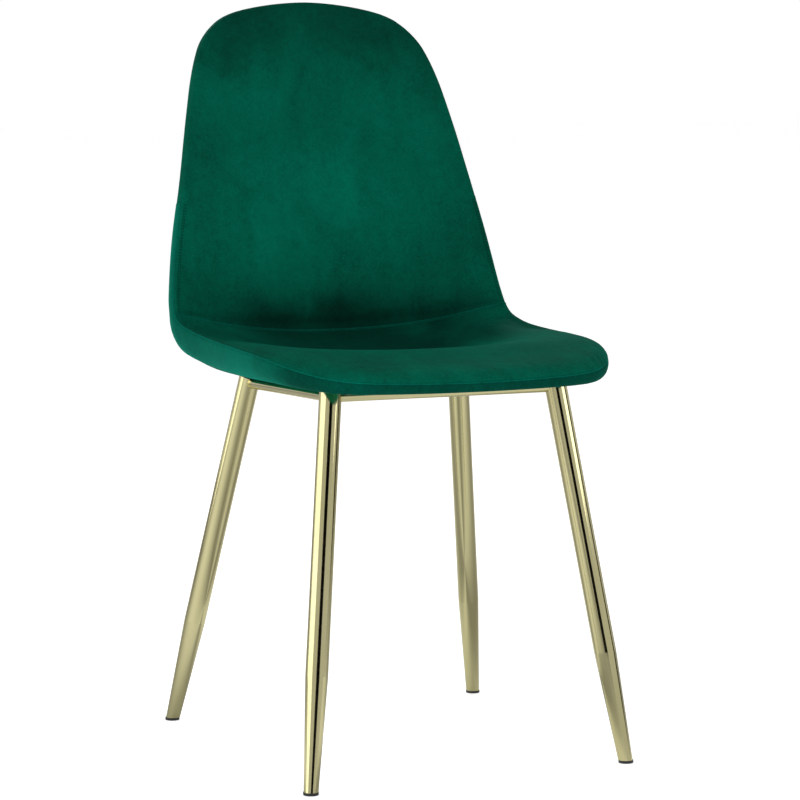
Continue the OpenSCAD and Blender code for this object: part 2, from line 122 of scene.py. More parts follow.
def lattice(name, facing):
    """Rows and columns of points on the face of a lofted CAD node that looks towards facing."""
    bm = bmesh.new()
    bm.from_mesh(frame["nodes"][name].data)
    bmesh.ops.remove_doubles(bm, verts=bm.verts, dist=0.02 * MM)
    bmesh.ops.triangulate(bm, faces=bm.faces)
    bm.normal_update()
    bm.faces.ensure_lookup_table()
    facing = Vector(facing)
    seen, groups = set(), []
    for face in bm.faces:
        if face.index not in seen:
            groups.append(smooth_group(face, seen))
    group = max(groups, key=lambda g: sum(f.calc_area() * f.normal.dot(facing) for f in g))
    inside = {f.index for f in group}
    seed = max(group, key=lambda f: f.calc_area())
    result = None
    # Only the right choice of the first triangle's corners gives every point a place of its own
    for turn in range(3):
        label = grid_labels([seed.verts[(turn + k) % 3] for k in range(3)], seed, inside)
        ij = np.array(list(label.values()))
        ij -= ij.min(0)
        size = ij.max(0) + 1
        if size[0] * size[1] == len(ij):
            result = np.zeros((size[0], size[1], 3))
            for (i, j), v in zip(ij, label):
                result[i, j] = v.co
            break
    bm.free()
    if result is None:
        raise RuntimeError(f"{name}: its faces are not a grid")
    return result.transpose(1, 0, 2) if result.shape[1] > result.shape[0] else result


def ordered(grid, along):
    """The grid with its rows in the order in which the coordinate along grows."""
    return grid if grid[-1, :, along].mean() > grid[0, :, along].mean() else grid[::-1]


SITTER = np.array([-0.25, 0.75])        # a point in front of the back, in the Y-Z plane


def from_sitter(band):
    """A band's grid with its first column next to the sitter's side."""
    gap = [np.linalg.norm(band[:, j, 1:] - SITTER, axis=1).mean() for j in (0, -1)]
    return band if gap[0] < gap[1] else np.flip(band, 1)


front = ordered(from_sitter(lattice("front_band", (0, -1, 0))), X)
side = ordered(from_sitter(lattice("side_band_left", (1, 0, 0))), Z)
top = ordered(from_sitter(lattice("top_band", (0, 0, 1))), X)

# Half of the loop round the shell: front centre, along the sitter's left, top centre.
# A place h on the loop is the count of knots from the front centre.
half_front = front[len(front) // 2:]
half_top = top[len(top) // 2:][::-1]
bands = np.concatenate([half_front, side[1:], half_top[1:]])
seam_knots, edge_knots = bands[:, 0], bands[:, -1]
for knots in (seam_knots, edge_knots):
    knots[[0, -1], X] = 0
TOP_KNOTS = 9                           # in each half of the arc over the top of the back
H = np.arange(len(bands), dtype=float)
H_CORNER = float(len(half_front) - 1)   # the front band meets the side band
H_TICK = H_CORNER + len(side) - 1       # the side band ends, part of the way up the back
H_END = H[-1]
H_TOP = H_END - TOP_KNOTS


def hermite(knots, values, at):
    """Smooth curve through values at knots."""
    knots, values, at = np.asarray(knots, float), np.asarray(values, float), np.asarray(at, float)
    flat = values.reshape(len(knots), -1)
    slope = np.gradient(flat, knots, axis=0)
    i = np.clip(np.searchsorted(knots, at.ravel(), "right") - 1, 0, len(knots) - 2)
    h = knots[i + 1] - knots[i]
    t = ((at.ravel() - knots[i]) / h)[:, None]
    h = h[:, None]
    out = ((2 * t**3 - 3 * t**2 + 1) * flat[i] + (t**3 - 2 * t**2 + t) * h * slope[i]
           + (3 * t**2 - 2 * t**3) * flat[i + 1] + (t**3 - t**2) * h * slope[i + 1])
    return out.reshape(at.shape + values.shape[1:])


def past_both_ends(h, points, turn=1):
    """Knots of a half curve, with part of their mirror image past both ends for a smooth crossing."""
    n = 3
    end = h[-1]
    return (np.r_[-h[n:0:-1], h, 2 * end - h[-2:-2 - n:-1]],
            np.concatenate([points[n:0:-1] * turn, points, points[-2:-2 - n:-1] * turn]))


SEAM_H, SEAM_P = past_both_ends(H, seam_knots, MIRROR)
EDGE_H, EDGE_P = past_both_ends(H, edge_knots, MIRROR)


def seam(h):
    """Point of the seam between the sitter's side and the edge bands."""
    return hermite(SEAM_H, SEAM_P, h)


def edge(h):
    """Point of the seam between the edge bands and the outer cover."""
    return hermite(EDGE_H, EDGE_P, h)


def smooth_step(a, b, x):
    t = np.clip((np.asarray(x, float) - a) / (b - a), 0, 1)
    return t * t * (3 - 2 * t)


def tree(*names):
    """Ray-cast tree of CAD nodes."""
    bm = bmesh.new()
    for name in names:
        bm.from_mesh(frame["nodes"][name].data)
    found = BVHTree.FromBMesh(bm)
    bm.free()
    return found


def angle(p):
    """Angle of a point round the sitter's point, from straight down towards the back."""
    return np.arctan2(p[..., Y] - SITTER[0], SITTER[1] - p[..., Z])


RAY_STEP = 0.5                          # in knots
RAY_LENGTH = 1.0
OFF_CENTRE = 0.4 * MM                   # keeps a ray off the edges of the mesh on the centre line


def centre_hits(found, inwards):
    """Places on the loop, and points on the centre line that lie at the same angle as the seam."""
    places, points = [], []
    for h in np.arange(0, H_END + RAY_STEP / 2, RAY_STEP):
        a = float(angle(seam(h)))
        d = Vector((0, math.sin(a), -math.cos(a)))
        o = Vector((OFF_CENTRE, *SITTER))
        if inwards:
            hit = found.ray_cast(o + d * RAY_LENGTH, -d, RAY_LENGTH)
        else:
            hit = found.ray_cast(o, d, RAY_LENGTH)
        if hit[0] is not None:
            places.append(h)
            points.append(np.array(hit[0]) * (0, 1, 1))
    return np.array(places), np.array(points)


RISE_SEAT, RISE_BACK = 11 * MM, 7.7 * MM        # of the padding, over the surface between the seams
seat_middle = vertices(frame["nodes"]["seat_cover"])
seat_middle = seat_middle[abs(seat_middle[:, X]) < MM]
fine_h = np.linspace(0, H_END, 4001)
H_VALLEY = float(np.interp(angle(seat_middle).max(), angle(seam(fine_h)), fine_h))


def rise_height(h):
    """The padding's rise: the seat's before the valley, and the back's after it."""
    return RISE_SEAT + (RISE_BACK - RISE_SEAT) * smooth_step(H_VALLEY - 1, H_VALLEY + 1, h)


def away_of(h, line):
    """Directions away from the sitter, square to a line of points."""
    d = np.gradient(line, h, axis=0)
    d /= np.linalg.norm(d[:, 1:], axis=1)[:, None]
    return np.stack([0 * h, d[:, Z], -d[:, Y]], 1)


FRONT_TIP, TOP_TIP = 7, 6               # knots near the tips, where the centre line isn't read from rays


def centre_line(found, inwards, end_points, sink):
    """Knots of a centre line from tip to tip; sink takes the padding's rise off."""
    h, p = centre_hits(found, inwards)
    inner = (h > FRONT_TIP) & (h < H_END - TOP_TIP)
    h, p = h[inner], p[inner]
    if sink:
        p = p + away_of(h, p) * rise_height(h)[:, None]
    for _ in range(2):
        p[1:-1] = (p[:-2] + 2 * p[1:-1] + p[2:]) / 4
    return past_both_ends(np.r_[0, h, H_END], np.concatenate([[end_points[0]], p, [end_points[-1]]]))


IN_H, IN_P = centre_line(tree("seat_cover", "back_cover"), False, seam_knots, True)
OUT_H, OUT_P = centre_line(tree("outer_cover"), True, edge_knots, False)


def centre(h, out=False):
    return hermite(OUT_H, OUT_P, h) if out else hermite(IN_H, IN_P, h)


away_knots = away_of(fine_h, centre(fine_h))


def away(h):
    """Direction away from the sitter at a place on the loop."""
    return np.stack([np.interp(h, fine_h, away_knots[:, k]) for k in range(3)], -1)


# A cross-section bends with a power of the distance from the centre line. The outer side is flat under
# the seat with upturned edges, and rounder behind the back.
IN_POWER = 2.2
OUT_POWER_H = H_VALLEY + np.array([-6.3, -3.4, -0.4, 2.5])
OUT_POWER = (6, 5, 4, 3)


def surface(h, v, out=False):
    """Point on the sitter's side without its padding, or on the outer side; v is -1 to 1 across."""
    rim = edge(h) if out else seam(h)
    mid = centre(h, out)
    bend = abs(v) ** (np.interp(h, OUT_POWER_H, OUT_POWER) if out else IN_POWER)
    return np.stack([rim[..., X] * v, mid[..., Y] + (rim[..., Y] - mid[..., Y]) * bend,
                     mid[..., Z] + (rim[..., Z] - mid[..., Z]) * bend], -1)


# ---------------------------------------------------------------------------
# Grids over the shell
# ---------------------------------------------------------------------------

def lengths(line):
    """Length along a line of points, up to each of them."""
    return np.r_[0, np.cumsum(np.linalg.norm(np.diff(line, axis=0), axis=1))]


def even_places(curve, start, end, count):
    """Places from start to end, spaced evenly along a curve round the loop."""
    h = fine_h[(fine_h >= start) & (fine_h <= end)]
    run = lengths(curve(h))
    return np.interp(np.linspace(0, run[-1], count), run, h)


class Domain:
    """Flat map of one face of the shell: across, and along its centre line."""

    def __init__(self, out):
        self.out = out
        self.h = fine_h
        self.along = lengths(centre(fine_h, out))
        self.width = (edge if out else seam)(fine_h)[:, X]

    def at(self, h):
        return np.stack([np.interp(h, self.h, self.width), np.interp(h, self.h, self.along)], -1)

    def points(self, flat):
        """The place and the share of the width of points of the map, and their points in space."""
        h = np.interp(flat[..., 1], self.along, self.h)
        w = np.maximum(np.interp(h, self.h, self.width), 1e-6)
        v = np.clip(flat[..., 0] / w, -1, 1)
        return h, v, surface(h, v, self.out)


def patch(low, high, left, right):
    """Coons patch between four lines of flat points: low and high run across, left and right along."""
    n, m = len(left), len(low)
    s = np.linspace(0, 1, m)[None, :, None]
    t = np.linspace(0, 1, n)[:, None, None]
    return ((1 - t) * low[None] + t * high[None] + (1 - s) * left[:, None] + s * right[:, None]
            - ((1 - t) * (1 - s) * low[0] + (1 - t) * s * low[-1]
               + t * (1 - s) * high[0] + t * s * high[-1]))


def across(line):
    """A half line from the centre outwards, with its mirror image before it."""
    other = line[:0:-1] * (-1, 1)
    return np.concatenate([other, line])


def grid_faces(n, m, start=0):
    i, j = np.meshgrid(np.arange(n - 1), np.arange(m - 1), indexing="ij")
    a = (start + i * m + j).ravel()
    return np.stack([a, a + 1, a + m + 1, a + m], 1)


def distance_to(points, line):
    """Distance of each point to a polyline."""
    flat = points.reshape(-1, 3)
    best = np.full(len(flat), 1e9)
    for a, b in zip(line[:-1], line[1:]):
        d = b - a
        t = np.clip((flat - a) @ d / (d @ d), 0, 1)
        best = np.minimum(best, ((flat - a - t[:, None] * d) ** 2).sum(1))
    return np.sqrt(best).reshape(points.shape[:-1])


LOOP_POINTS = 260                       # from the front centre to the top centre


def loop_line(curve):
    """The whole loop as a line of points, closed."""
    half = curve(even_places(curve, 0, H_END, LOOP_POINTS))
    return np.concatenate([half, half[-2:0:-1] * MIRROR, half[:1]])


SEAM_LINE, EDGE_LINE = loop_line(seam), loop_line(edge)
valley_v = np.linspace(-1, 1, 81)
VALLEY_LINE = surface(np.full(len(valley_v), H_VALLEY), valley_v)


def new_object(name, points, faces, uv=None):
    me = bpy.data.meshes.new(name)
    me.from_pydata(np.asarray(points, float).tolist(), [], [[int(k) for k in f] for f in faces])
    me.polygons.foreach_set("use_smooth", [True] * len(me.polygons))
    if uv is not None:
        layer = me.uv_layers.new(name="cloth")
        index = np.zeros(len(me.loops), int)
        me.loops.foreach_get("vertex_index", index)
        layer.data.foreach_set("uv", uv[index].astype(np.float32).ravel())
    o = bpy.data.objects.new(name, me)
    scene.collection.objects.link(o)
    return o


def solid(o, thickness):
    m = o.modifiers.new("thickness", "SOLIDIFY")
    m.thickness, m.offset, m.use_rim = thickness, -1, True
    return o


VELVET_T = 1.8 * MM
ROLL = 34 * MM                          # width of the rounded margin along a seam
FOLD_DEPTH, FOLD_WIDTH = 4.2 * MM, 15 * MM      # of the fold beside the valley
inner_map, outer_map = Domain(False), Domain(True)


def padding(h, p, d_seam, d_valley):
    """Padded surface over p: it rolls down to the seams and to the valley between the panels."""
    k = 1 - np.minimum(1, d_seam / ROLL)
    rise = rise_height(h) * np.sqrt(1 - k * k)
    fold = np.clip(1 - d_valley / FOLD_WIDTH, 0, 1)
    rise = rise - FOLD_DEPTH * fold * fold * smooth_step(0, 30 * MM, d_seam + 6 * MM)
    return p - away(h) * rise[..., None]


def valley_across(half):
    """The valley in the flat map, with half of its points on each side of the centre."""
    share = np.stack([np.linspace(0, 1, half), np.ones(half)], 1)
    return across(inner_map.at(np.full(half, H_VALLEY)) * share)


def panel_grid(flat_map, low, high, side_places):
    """Flat grid between two lines across the shell, and its places, shares of the width and points."""
    right = flat_map.at(side_places)
    flat = patch(low, high, right * (-1, 1), right)
    return (flat, *flat_map.points(flat))


# Columns from the centre to the edge, and rows
SEAT_HALF, SEAT_ROWS = 121, 190
BACK_HALF, BACK_ROWS = 101, 220
OUT_HALF, OUT_ROWS = 61, 240

seat_flat, seat_h, seat_v, seat_p = panel_grid(
    inner_map, across(inner_map.at(even_places(seam, 0, H_CORNER, SEAT_HALF))), valley_across(SEAT_HALF),
    even_places(seam, H_CORNER, H_VALLEY, SEAT_ROWS))

back_arc_h = even_places(seam, H_TOP, H_END, BACK_HALF)[::-1]
back_side_h = even_places(seam, H_VALLEY, H_TOP, BACK_ROWS)
back_side_h[abs(back_side_h - H_TICK).argmin()] = H_TICK
back_flat, back_h, back_v, back_p = panel_grid(
    inner_map, valley_across(BACK_HALF), across(inner_map.at(back_arc_h)), back_side_h)

seat_d, seat_dv = distance_to(seat_p, SEAM_LINE), distance_to(seat_p, VALLEY_LINE)
back_d, back_dv = distance_to(back_p, SEAM_LINE), distance_to(back_p, VALLEY_LINE)


def hump(x, middle, spread):
    return np.exp(-((x - middle) / spread) ** 2)


GATHERS, GATHER_SPAN = 80, 0.24         # along the front seam, and how far to each side


def ripple(run, seed):
    """Uneven fine gathers along a seam, 0 to 1, over a length in metres."""
    r = np.random.default_rng(seed)
    total = np.zeros(np.shape(run))
    for _ in range(GATHERS):
        total = total + (r.uniform(0.3, 1)
                         * hump(run, r.uniform(-GATHER_SPAN, GATHER_SPAN), r.uniform(1.5, 2.8) * MM))
    return np.clip(total, 0, 1)


DISH_Y, CROWN_Y, SIDE_GATHER_Y = 0.002, -0.150, 0.112       # the middle of each
FRONT_Y = (-0.185, -0.215)              # where the gathers of the front seam begin, and are full
REAR_Y = (-0.07, 0.05)                  # where the low margin of the sides begins, and is full
SIDE_PITCH = 16 * MM                    # from one side gather to the next


def seat_form():
    """How far the seat's velvet lies below its even padding."""
    y = seat_p[..., Y]
    sink = (9 * MM * hump(y, DISH_Y, 0.066) * smooth_step(12 * MM, 80 * MM, seat_d)
            - 1.5 * MM * hump(y, CROWN_Y, 0.040) * smooth_step(10 * MM, 40 * MM, seat_d))
    sink += 1.4 * MM * ripple(seat_p[..., X], 3) * hump(seat_d, 6.5 * MM, 5 * MM) * smooth_step(*FRONT_Y, y)
    # Towards the rear the margin lies low, and the side bands stand up in front of it
    low_margin = hump(seat_d, 16 * MM, 22 * MM) * smooth_step(0, 8 * MM, seat_d)
    sink += 7.5 * MM * low_margin * (smooth_step(*REAR_Y, y) * smooth_step(2 * MM, 32 * MM, seat_dv))
    # The side gathers run slanting from the seam
    run = np.interp(seat_h, fine_h, lengths(seam(fine_h))) - 0.5 * seat_d
    side_gather = hump(y, SIDE_GATHER_Y, 0.022) * hump(seat_d, 9 * MM, 7 * MM)
    return sink + 2.2 * MM * side_gather * (0.5 + 0.5 * np.cos(run / SIDE_PITCH * math.tau))


seat_q = padding(seat_h, seat_p, seat_d, seat_dv) + away(seat_h) * seat_form()[..., None]
back_q = padding(back_h, back_p, back_d, back_dv)


def blur(field, rounds):
    for _ in range(rounds):
        wide = np.pad(field, 1, mode="edge")
        field = (wide[:-2, 1:-1] + wide[2:, 1:-1] + wide[1:-1, :-2] + wide[1:-1, 2:] + 4 * field) / 8
    return field


def band_grid(places, steps, bulge, power):
    """Grid over the edge band: down its rows the loop, across them from the seam to the edge."""
    a, b = seam(places), edge(places)
    along = np.gradient(a, places, axis=0)
    out = np.cross(b - a, along)
    out /= np.linalg.norm(out, axis=1)[:, None]
    q = np.linspace(0, 1, steps)
    rise = (4 * q * (1 - q))[None] ** np.broadcast_to(power, places.shape)[:, None]
    return (a[:, None] + (b - a)[:, None] * q[None, :, None]
            + out[:, None] * (bulge[:, None] * rise)[..., None])


BULGE_H = (0, 4, H_CORNER, 12, 20, 27, H_TICK)
BULGE_MM = (3.0, 3.2, 4.6, 6.4, 6.4, 3.8, 2.4)


def band_bulge(h):
    """How far the edge bands swell outwards: most along the sides of the seat."""
    return np.interp(h, BULGE_H, BULGE_MM) * MM


def band_power(h):
    """How full the section of the edge bands is: fuller, with a lower power, along the sides."""
    return np.interp(h, (4, 12), (0.8, 0.62))


# Side and front bands: points along them, and steps across
SIDE_POINTS, SIDE_STEPS = 380, 21
FRONT_POINTS, FRONT_STEPS = 150, 17
side_places = even_places(seam, H_CORNER, H_TICK, SIDE_POINTS)
side_left = band_grid(side_places, SIDE_STEPS, band_bulge(side_places), band_power(side_places))
front_places = even_places(seam, 0, H_CORNER, FRONT_POINTS)
half_band = band_grid(front_places, FRONT_STEPS, band_bulge(front_places), band_power(front_places))
front_p = np.concatenate([half_band[:0:-1] * MIRROR, half_band])

# Outer cover, lifted a little along its edge
EDGE_LIFT, LIFT_WIDTH = 1.6 * MM, 7 * MM
outer_flat, outer_h, _, outer_p = panel_grid(
    outer_map, across(outer_map.at(even_places(edge, 0, H_CORNER, OUT_HALF))),
    across(outer_map.at(even_places(edge, H_TOP, H_END, OUT_HALF)[::-1])),
    even_places(edge, H_CORNER, H_TOP, OUT_ROWS))
outer_lift = EDGE_LIFT * np.clip(1 - distance_to(outer_p, EDGE_LINE) / LIFT_WIDTH, 0, 1) ** 2
outer_q = outer_p - away(outer_h) * outer_lift[..., None]

# Strip of the back panel that rolls over the edge above the side bands
WRAP_STEPS, WRAP_BULGE, WRAP_POWER = 17, 2.2 * MM, 1.3
strip_h = np.r_[back_side_h[back_side_h >= H_TICK], back_arc_h[::-1][1:]]
strip_h = np.unique(np.round(strip_h, 9))
half_wrap = band_grid(strip_h, WRAP_STEPS, np.full(len(strip_h), WRAP_BULGE), WRAP_POWER)
wrap_p = np.concatenate([half_wrap, half_wrap[-2::-1] * MIRROR])


def joined(grids, uvs):
    """Points, faces and UVs of several grids in one mesh."""
    faces, start = [], 0
    for g in grids:
        faces.append(grid_faces(*g.shape[:2], start))
        start += g.shape[0] * g.shape[1]
    return (np.concatenate([g.reshape(-1, 3) for g in grids]), np.concatenate(faces),
            np.concatenate([uv.reshape(-1, 2) for uv in uvs]))


def grid_uv(p):
    """Lengths along both directions of a grid, in metres."""
    rows_run = lengths(p[:, p.shape[1] // 2])
    cols_run = lengths(p[p.shape[0] // 2])
    return np.stack(np.meshgrid(cols_run, rows_run), -1)


def tidy_mesh(o, weld=None):
    """Welds points nearer than a distance, and turns all the faces the same way."""
    bm = bmesh.new()
    bm.from_mesh(o.data)
    if weld is not None:
        bmesh.ops.remove_doubles(bm, verts=bm.verts, dist=weld)
    bmesh.ops.recalc_face_normals(bm, faces=bm.faces)
    bm.to_mesh(o.data)
    bm.free()
    return o


def facing_out(o, probe):
    """Turns the mesh so that its faces look, on the whole, towards a direction."""
    total = sum((p.normal * p.area for p in o.data.polygons), Vector())
    if total.dot(Vector(probe)) < 0:
        o.data.flip_normals()
    return o


# ---------------------------------------------------------------------------
# Cloth simulation of the two pads
# ---------------------------------------------------------------------------

PAD_STEP, PAD_DEPTH = 3, 14 * MM        # the simulated block's grid is this much coarser, and this deep
VOXEL = 6 * MM
HELD_NEAR, HELD_BELOW = 9 * MM, 5 * MM  # held when nearer to a seam than this, or deeper than this
SIM_FRAMES = 20
RAY_START = 30 * MM                     # how far outside the panel a ray starts
SEAT_CAP, BACK_CAP = 5 * MM, 4 * MM     # how far a point may move
SEAT_SHARE = 0.3                        # of the seat's swelling that is kept, so that its dish stays


def ring(n, m):
    """Indices round the border of an n by m grid."""
    top_row = list(range(m))
    right_side = [i * m + m - 1 for i in range(1, n)]
    bottom_row = [(n - 1) * m + j for j in range(m - 2, -1, -1)]
    left_side = [i * m for i in range(n - 2, 0, -1)]
    return top_row + right_side + bottom_row + left_side


def closed_form(name, upper, lower):
    """Closed mesh between two grids of the same size."""
    n, m = upper.shape[:2]
    points = np.concatenate([upper.reshape(-1, 3), lower.reshape(-1, 3)])
    r = np.array(ring(n, m))
    nxt = np.roll(r, -1)
    wall = np.stack([r, nxt, nxt + n * m, r + n * m], 1)
    faces = np.concatenate([grid_faces(n, m), grid_faces(n, m, n * m)[:, ::-1], wall])
    return tidy_mesh(new_object(name, points, faces))


def apply_modifiers(o):
    dg = bpy.context.evaluated_depsgraph_get()
    me = bpy.data.meshes.new_from_object(o.evaluated_get(dg))
    o.modifiers.clear()
    o.data = me


def hold(pad, upper):
    """Vertex group of the points that the simulation leaves where they are."""
    rest = vertices(pad)
    top_of_pad = BVHTree.FromPolygons([Vector(p) for p in upper.reshape(-1, 3)],
                                      grid_faces(*upper.shape[:2]).tolist())
    below = np.array([top_of_pad.find_nearest(Vector(p))[3] for p in rest])
    gap = np.minimum(distance_to(rest, SEAM_LINE), distance_to(rest, VALLEY_LINE))
    held = pad.vertex_groups.new(name="held")
    for k in np.flatnonzero((gap < HELD_NEAR) | (below > HELD_BELOW)):
        held.add([int(k)], 1.0, "REPLACE")


def inflate(pad):
    """Cloth simulation with pressure and no gravity, applied to the mesh."""
    cloth = pad.modifiers.new("cloth", "CLOTH")
    cs = cloth.settings
    cs.quality = 6
    cs.mass = 0.25
    cs.tension_stiffness = cs.compression_stiffness = 18
    cs.shear_stiffness = 8
    cs.bending_stiffness = 0.6
    cs.use_pressure = True
    cs.uniform_pressure_force = 4
    cs.effector_weights.gravity = 0
    cs.vertex_group_mass = "held"
    cloth.collision_settings.use_collision = False
    cloth.point_cache.frame_start, cloth.point_cache.frame_end = 1, SIM_FRAMES
    for frame_number in range(1, SIM_FRAMES + 1):
        scene.frame_set(frame_number)
    apply_modifiers(pad)
    scene.frame_set(1)


def swell(name, grid, h, d_edge, cap):
    """How far the pad under a grid swells outwards under pressure, held along its seams."""
    upper, upper_h = grid[::PAD_STEP, ::PAD_STEP], h[::PAD_STEP, ::PAD_STEP]
    pad = closed_form(name, upper, upper + away(upper_h) * PAD_DEPTH)
    remesh = pad.modifiers.new("remesh", "REMESH")
    remesh.mode, remesh.voxel_size = "VOXEL", VOXEL
    apply_modifiers(pad)
    rest = vertices(pad)
    hold(pad, upper)
    inflate(pad)
    move = vertices(pad) - rest
    far = np.linalg.norm(move, axis=1)
    move *= np.minimum(1, cap / np.maximum(far, 1e-9))[:, None]
    print(name, "vertices", len(rest), "largest move, mm", round(float(far.max() / MM), 2))
    swollen = BVHTree.FromPolygons([Vector(p) for p in rest + move],
                                   [list(p.vertices) for p in pad.data.polygons])
    bpy.data.objects.remove(pad)
    direction = -away(h)
    lift = np.zeros(h.shape)
    for i in range(0, h.shape[0], 2):
        for j in range(0, h.shape[1], 2):
            d = Vector(direction[i, j])
            hit = swollen.ray_cast(Vector(grid[i, j]) + d * RAY_START, -d, 2 * RAY_START)
            lift[i, j] = RAY_START - hit[3] if hit[0] is not None else 0
    # The rows and columns between take their neighbour's value, and the blur evens them out
    lift[1::2] = lift[:-1:2][:len(lift[1::2])]
    lift[:, 1::2] = lift[:, :-1:2][:, :lift[:, 1::2].shape[1]]
    lift = np.clip(blur(lift, 24), 0, cap)
    return lift * smooth_step(0, 22 * MM, d_edge)


for_seat = swell("seat_pad_sim", seat_q, seat_h, np.minimum(seat_d, seat_dv), SEAT_CAP)
for_back = swell("back_pad_sim", back_q, back_h, np.minimum(back_d, back_dv), BACK_CAP)
print("swell, mm", (for_seat.max() / MM).round(2), (for_back.max() / MM).round(2))
seat_q = seat_q - away(seat_h) * (SEAT_SHARE * for_seat)[..., None]
back_q = back_q - away(back_h) * for_back[..., None]


# ---------------------------------------------------------------------------
# Velvet, foam, seams and the cloth under the seat
# ---------------------------------------------------------------------------

def cloth_piece(name, grid, facing, uv):
    o = new_object(name, grid.reshape(-1, 3), grid_faces(*grid.shape[:2]), uv.reshape(-1, 2))
    return solid(facing_out(o, facing), VELVET_T)


seat = cloth_piece("seat_panel", seat_q, (0, 0, 1), seat_flat)
side_l = cloth_piece("side_band_left_velvet", side_left, (1, 0, 0), grid_uv(side_left))
side_r = cloth_piece("side_band_right_velvet", side_left * MIRROR, (-1, 0, 0), grid_uv(side_left))
front_piece = cloth_piece("front_band_velvet", front_p, (0, -1, 0), grid_uv(front_p))
outer = cloth_piece("outer_velvet", outer_q, (0, 0.5, -1), outer_flat)

back = new_object("back_panel", *joined([back_q, wrap_p], [back_flat, grid_uv(wrap_p)]))
tidy_mesh(back, weld=0.3 * MM)
solid(facing_out(back, (0, -1, 0)), VELVET_T)

UNDER_VELVET, OVER_CORE = 3.2 * MM, 13.5 * MM   # from the velvet, and from the outer side
THIN_FOAM = 2 * MM
FOAM_STEP = 4


def foam_piece(name, grid, h, v):
    """Foam between the velvet and the core, which thins towards the seams."""
    g, hh, vv = (a[::FOAM_STEP, ::FOAM_STEP] for a in (grid, h, v))
    upper = g + away(hh) * UNDER_VELVET
    lower = surface(hh, vv, True) - away(hh) * OVER_CORE
    depth = ((lower - upper) * away(hh)).sum(2)
    room = 1.3 * (distance_to(surface(hh, vv), SEAM_LINE) - 5 * MM)
    depth = np.clip(depth, THIN_FOAM, np.maximum(room, THIN_FOAM))
    lower = upper + away(hh) * depth[..., None]
    return closed_form(name, upper[1:-1, 1:-1], lower[1:-1, 1:-1])


def inside_line(grid, gap, distance):
    """Points of a grid at a distance inside its first column, one for each row."""
    near = slice(0, 24)
    return np.stack([[np.interp(distance, gap[i, near], grid[i, near, k]) for k in range(3)]
                     for i in range(grid.shape[0])])


def spaced(line, step):
    """The line again, with points a step apart."""
    run = lengths(line)
    at = np.arange(0, run[-1], step)
    return np.stack([np.interp(at, run, line[:, k]) for k in range(3)], 1)


def ring_points(middle, tangent, towards, radius, sides):
    """Points of a circle round a strand, the first of them in the direction towards."""
    u = towards - tangent * (towards @ tangent)
    u /= np.linalg.norm(u)
    w = np.cross(tangent, u)
    a = np.linspace(0, math.tau, sides, endpoint=False)[:, None]
    return middle + radius * (np.cos(a) * u + np.sin(a) * w)


END_SHARE = 0.35                        # of a strand's radius, at its two ends


def tubes(name, runs, radius, sides=7):
    """One mesh of round strands with narrower ends; a run is (points, direction outwards)."""
    points, faces = [], []
    for line, towards in runs:
        t = np.gradient(line, axis=0)
        t /= np.linalg.norm(t, axis=1)[:, None]
        start = len(points)
        for k in range(len(line)):
            r = radius * (END_SHARE if k in (0, len(line) - 1) else 1)
            points.extend(ring_points(line[k], t[k], towards, r, sides))
        for k in range(len(line) - 1):
            for a in range(sides):
                b = (a + 1) % sides
                q = start + k * sides
                faces.append((q + a, q + b, q + sides + b, q + sides + a))
        faces.append(tuple(start + a for a in range(sides - 1, -1, -1)))
        faces.append(tuple(start + (len(line) - 1) * sides + a for a in range(sides)))
    return new_object(name, points, faces)


STITCH_PITCH, STITCH_LENGTH = 3.6 * MM, 2.5 * MM


def stitched(line, towards):
    """Runs for a row of stitches along a line."""
    per_pitch = 6
    fine = spaced(line, STITCH_PITCH / per_pitch)
    n = round(STITCH_LENGTH / STITCH_PITCH * per_pitch)
    return [(fine[k:k + n + 1], towards) for k in range(0, len(fine) - n - 1, per_pitch)]


# Seams: the folded edges of the velvet show as fine ridges. The tick is the short seam where a side
# band ends on the back.
RIDGE_R, STITCH_R = 0.75 * MM, 0.38 * MM
TICK_REACH, TICK_COLUMNS = 11 * MM, 14
STITCH_INSETS = (4.0 * MM, 6.2 * MM)
OUTWARD = np.array([0.0, -0.6, 0.8])
FRONT_OUTWARD = np.array([0.5, -0.5, 0.7])
valley_row = seat_q[-1, 3:-3] - away(seat_h[-1, 3:-3]) * 0.3 * MM
front_seam = spaced(SEAM_LINE[:LOOP_POINTS], 2 * MM)
front_seam = front_seam[front_seam[:, Z] < seam(H_VALLEY)[Z] + 4 * MM]
tick_row = int(abs(back_side_h - H_TICK).argmin())
near_tick = back_d[tick_row, :TICK_COLUMNS] < TICK_REACH
tick = back_q[tick_row, :TICK_COLUMNS][near_tick] - away(H_TICK) * 0.1 * MM
ridges = tubes("seam_ridges", [
    (spaced(tick, 2 * MM), OUTWARD),
    (spaced(tick * MIRROR, 2 * MM), OUTWARD),
    (spaced(valley_row, 3 * MM), OUTWARD),
    (front_seam, FRONT_OUTWARD),
    (front_seam * MIRROR, FRONT_OUTWARD * MIRROR),
], RIDGE_R)

# Two rows of stitches along the lower edges of the back, up to the tick
rows_used = np.flatnonzero((back_side_h > H_VALLEY + 0.6) & (back_side_h < H_TICK))
stitch_runs = []
for inset in STITCH_INSETS:
    row = inside_line(back_q[rows_used], back_d[rows_used], inset)
    row = row - away(back_side_h[rows_used]) * 0.15 * MM
    stitch_runs += stitched(row, OUTWARD) + stitched(row * MIRROR, OUTWARD)
stitches = tubes("edge_stitches", stitch_runs, STITCH_R, 6)

